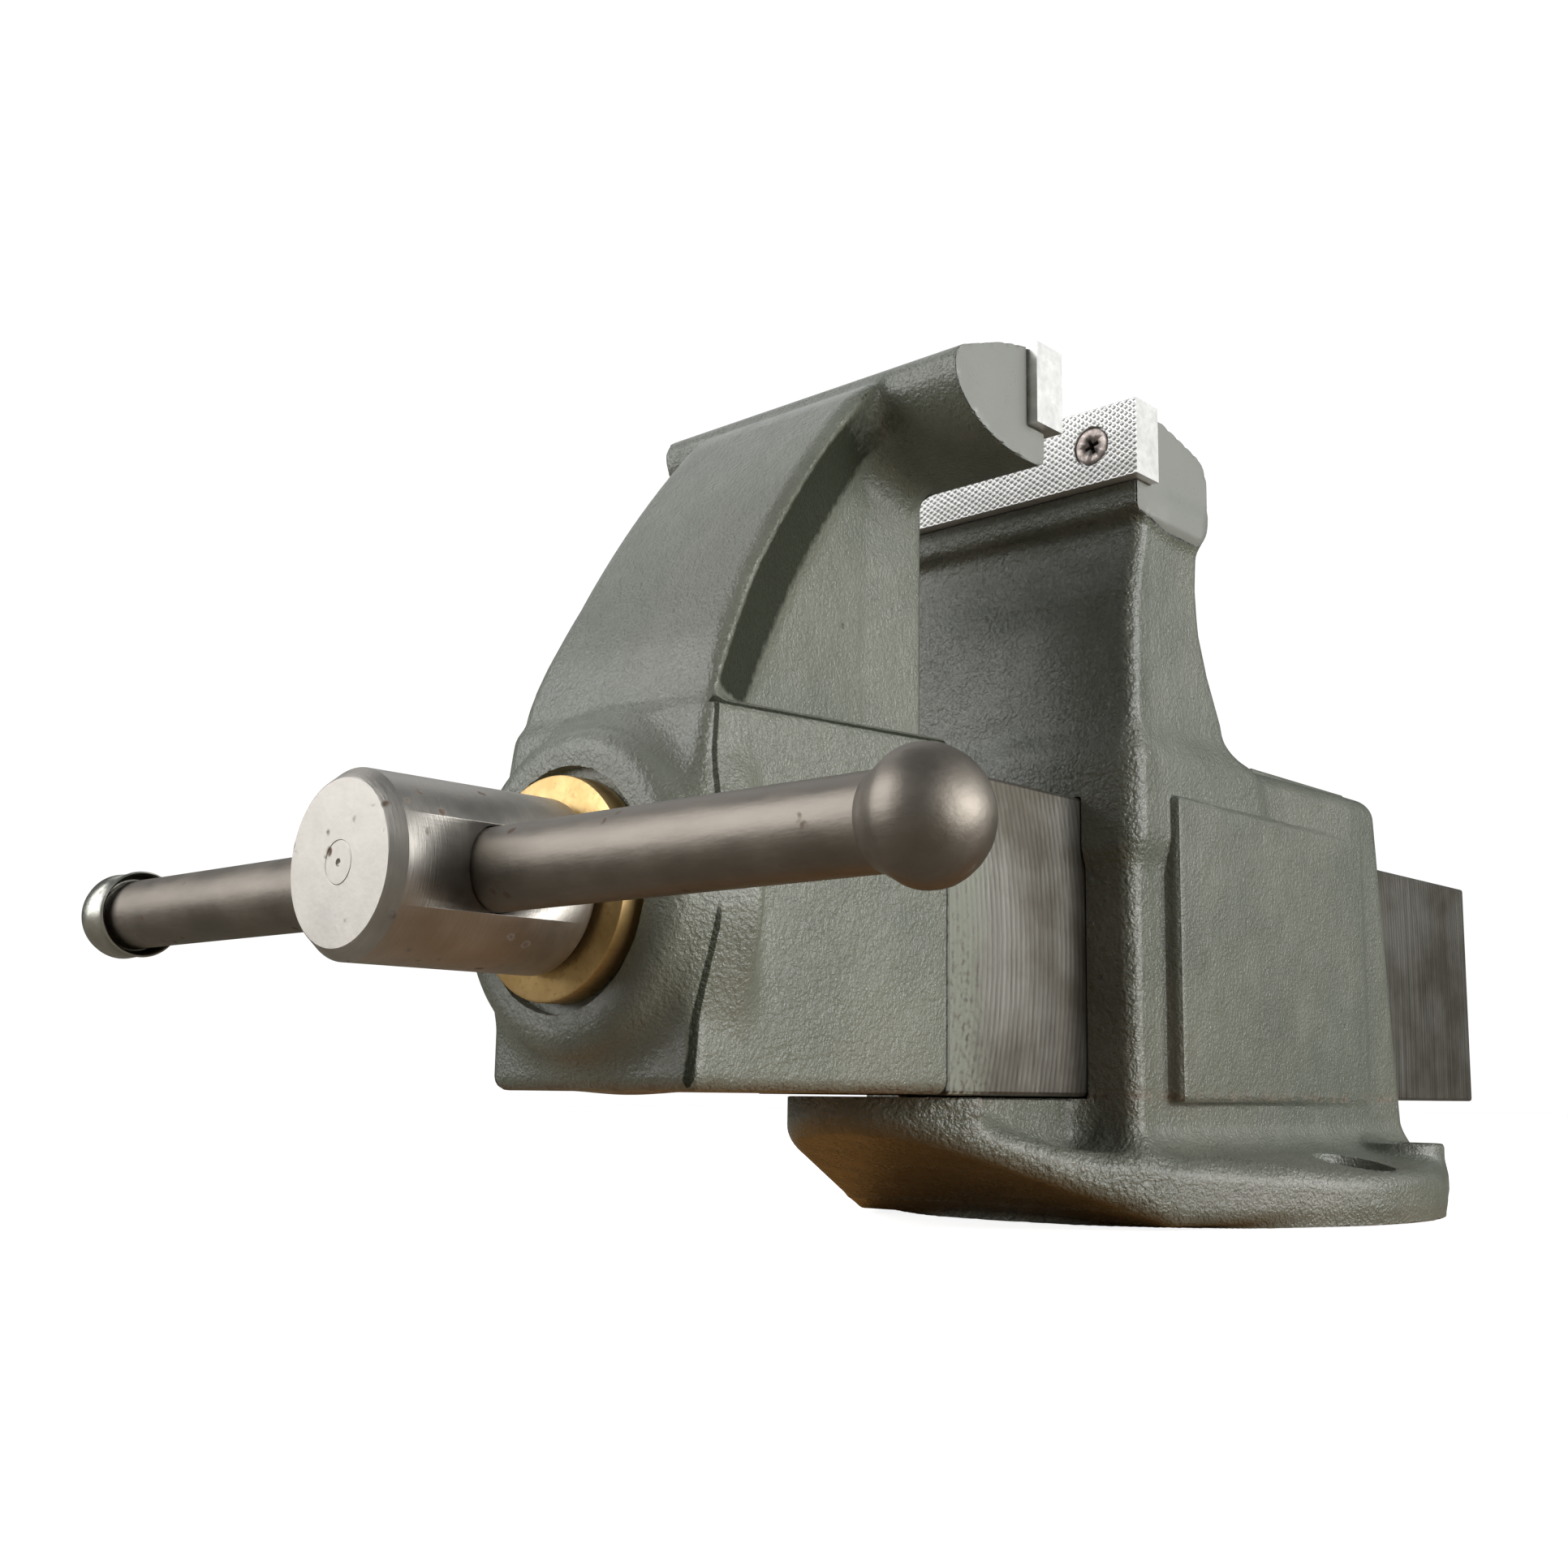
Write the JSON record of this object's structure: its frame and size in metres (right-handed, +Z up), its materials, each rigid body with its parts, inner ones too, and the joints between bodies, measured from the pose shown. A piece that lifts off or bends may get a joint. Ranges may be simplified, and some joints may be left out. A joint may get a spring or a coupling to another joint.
{
  "type": "bench vise",
  "caption": "Machinist's bench vise with a round bolt-down base, square slide, swept front jaw, knurled jaw inserts and a sliding tommy-bar handle.",
  "frame": {"origin": "centre of the round underside of the base", "axes": "+Z up; +Y from the spindle head towards the rear along the slide; +X to the right-hand side"},
  "size_m": [0.333, 0.561, 0.265],
  "materials": {
    "body_paint": "glossy sage enamel over a rough casting",
    "jaw_paint": "glossy sage enamel over a rough casting",
    "bar_steel": "milled, with overspray near the front jaw",
    "pin_steel": "turned",
    "insert_steel": "bright, diamond knurled grip face",
    "black_screw": "black oxide",
    "nut_steel": "machined iron",
    "bronze": "turned bronze",
    "spindle_steel": "turned steel with light rust specks",
    "handle_steel": "darkened steel"
  },
  "bodies": {
    "base": {"rear_jaw_body": "body_paint", "rear_jaw_insert": "insert_steel", "rear_insert_screw_left": "black_screw", "rear_insert_screw_right": "black_screw", "screw_nut": "nut_steel", "nut_bolt": "black_screw", "nut_bolt_washer": "pin_steel"},
    "moving_jaw": {"front_jaw": "jaw_paint", "slide_bar": "bar_steel", "bar_pin_front": "pin_steel", "bar_pin_rear": "pin_steel", "front_jaw_insert": "insert_steel", "front_insert_screw_left": "black_screw", "front_insert_screw_right": "black_screw", "thrust_collar": "bronze"},
    "spindle": {"spindle_screw": "spindle_steel", "retaining_washer": "pin_steel", "retaining_collar": "pin_steel", "collar_pin": "pin_steel"},
    "handle": {"handle_rod": "handle_steel", "handle_ball_left": "handle_steel", "handle_ball_right": "handle_steel"}
  },
  "joints": [
    {"name": "jaw_slide", "type": "slide", "parent": "base", "child": "moving_jaw", "axis": [0, 1, 0], "range_m": [-0.112, 0.0415]},
    {"name": "spindle_turn", "type": "hinge", "parent": "moving_jaw", "child": "spindle", "pos_m": [0, -0.29, 0.0915], "axis": [0, 1, 0], "range_deg": [-6350, 2353]},
    {"name": "handle_slide", "type": "slide", "parent": "spindle", "child": "handle", "axis": [1, 0, 0], "range_m": [-0.1094, 0.1204]}
  ],
  "couplings": [
    {"joint": "spindle_turn", "follows": "jaw_slide", "rad_per_m": 989.47}
  ]
}
